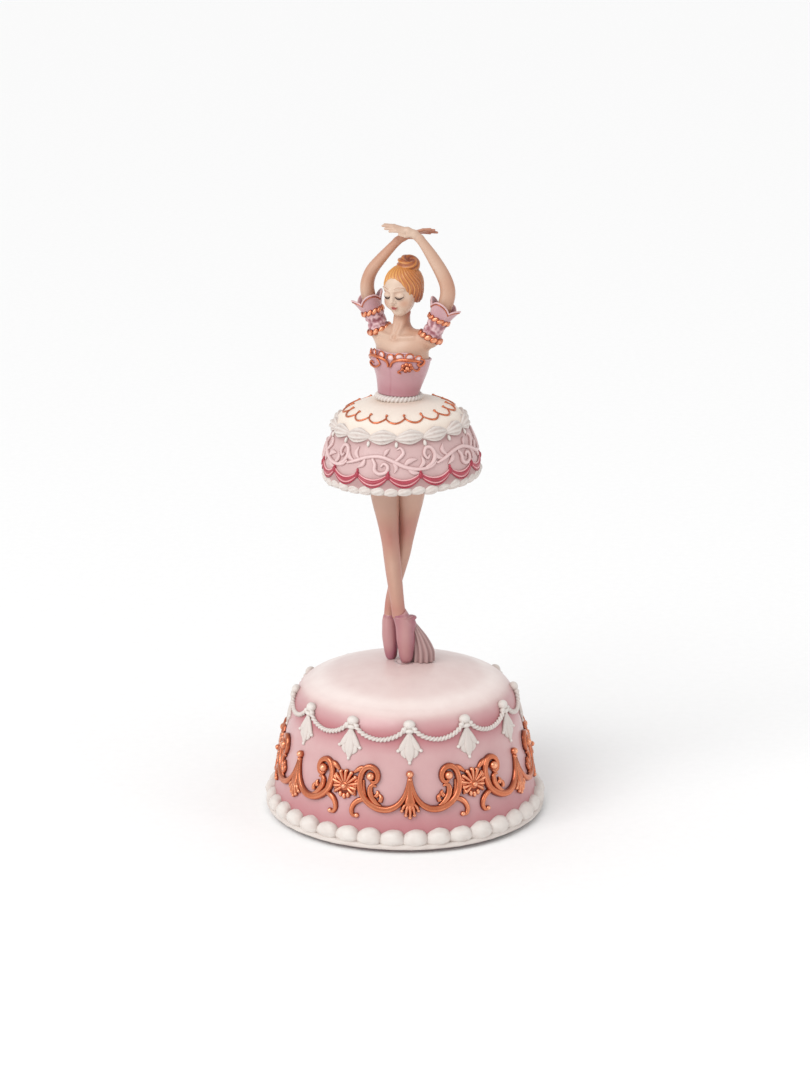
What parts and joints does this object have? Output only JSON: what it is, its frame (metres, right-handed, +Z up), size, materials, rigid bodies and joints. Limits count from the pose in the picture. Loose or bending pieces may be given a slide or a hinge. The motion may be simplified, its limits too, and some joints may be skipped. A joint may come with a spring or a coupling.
{
  "type": "musical ballerina figurine",
  "caption": "Wind-up musical figurine: a ballerina en pointe in a cake-shaped tutu turns on a domed cake base that holds a comb-and-cylinder movement.",
  "frame": {"origin": "centre of the base, in the plane that its four feet stand on", "axes": "+Z up along the spindle that the dancer turns on; the dancer faces -Y, turned 30 degrees towards -X; +X is to the right seen from the front"},
  "size_m": [0.122, 0.122, 0.254],
  "materials": {
    "base_pink": "pearly pink paint on cast resin",
    "icing_white": "satin white paint on cast resin",
    "copper_trim": "copper-coloured metallic paint on cast resin",
    "rose_resin": "satin mauve-rose paint on cast resin",
    "skin_resin": "satin skin-tone paint on cast resin",
    "hair_resin": "satin auburn paint on cast resin",
    "steel": "plain steel",
    "brass": "plain brass",
    "zinc": "zinc die casting",
    "nylon": "natural nylon",
    "cover_board": "dark moulded cover",
    "rubber": "black rubber"
  },
  "bodies": {
    "base": {"cake_shell": "base_pink", "base_border": "icing_white", "scroll_band": "copper_trim", "rubber_foot_1": "rubber", "rubber_foot_2": "rubber", "rubber_foot_3": "rubber", "rubber_foot_4": "rubber", "bottom_cover": "cover_board", "cover_screw_1": "steel", "cover_screw_2": "steel", "cover_screw_3": "steel", "movement_screw_1": "steel", "movement_screw_2": "steel", "movement_screw_3": "steel", "movement_bedplate": "zinc", "comb": "steel", "comb_screw_1": "brass", "comb_screw_2": "brass", "inner_bearing": "zinc", "outer_bearing": "zinc", "idler_bearing": "zinc", "governor_bridge": "brass", "spindle_bush": "nylon"},
    "key": {"winding_key": "zinc", "winding_arbor": "steel", "clutch_spring": "steel"},
    "dancer": {"spring_barrel": "brass", "barrel_cap": "brass", "mainspring": "steel", "crown_gear": "brass", "spindle_coupler": "brass", "dancer_spindle": "steel", "pleated_drape": "rose_resin", "right_shoe": "rose_resin", "left_shoe": "rose_resin", "right_leg": "skin_resin", "left_leg": "skin_resin", "cake_skirt": "base_pink", "hem_piping": "icing_white", "shell_piping": "icing_white", "waist_band": "icing_white", "bodice": "rose_resin", "shoulders": "skin_resin", "right_sleeve": "rose_resin", "left_sleeve": "rose_resin", "right_arm": "skin_resin", "left_arm": "skin_resin", "head": "skin_resin", "hair": "hair_resin", "hair_bun": "hair_resin"},
    "cylinder": {"pinned_cylinder": "brass", "cylinder_arbor": "steel", "crown_pinion": "brass", "cylinder_gear": "brass"},
    "idler": {"idler_arbor": "steel", "idler_pinion": "brass", "worm_wheel": "nylon"},
    "fan": {"governor_worm": "steel", "fan_vane": "nylon"}
  },
  "joints": [
    {"name": "dancer_turn", "type": "hinge", "parent": "base", "child": "dancer", "pos_m": [0, 0, 0.0645], "axis": [0, 0, 1], "continuous": true},
    {"name": "cylinder_turn", "type": "hinge", "parent": "base", "child": "cylinder", "pos_m": [0.027, 0, 0.029], "axis": [1, 0, 0], "continuous": true},
    {"name": "idler_turn", "type": "hinge", "parent": "base", "child": "idler", "pos_m": [0.036, 0.009, 0.029], "axis": [1, 0, 0], "continuous": true},
    {"name": "fan_spin", "type": "hinge", "parent": "base", "child": "fan", "pos_m": [0.03735, 0.0154, 0.029], "axis": [0, 0, 1], "continuous": true},
    {"name": "key_wind", "type": "hinge", "parent": "base", "child": "key", "pos_m": [0, 0, 0.005], "axis": [0, 0, 1], "continuous": true}
  ],
  "couplings": [
    {"joint": "cylinder_turn", "follows": "dancer_turn", "ratio": 5},
    {"joint": "idler_turn", "follows": "dancer_turn", "ratio": -10},
    {"joint": "fan_spin", "follows": "dancer_turn", "ratio": 200}
  ]
}
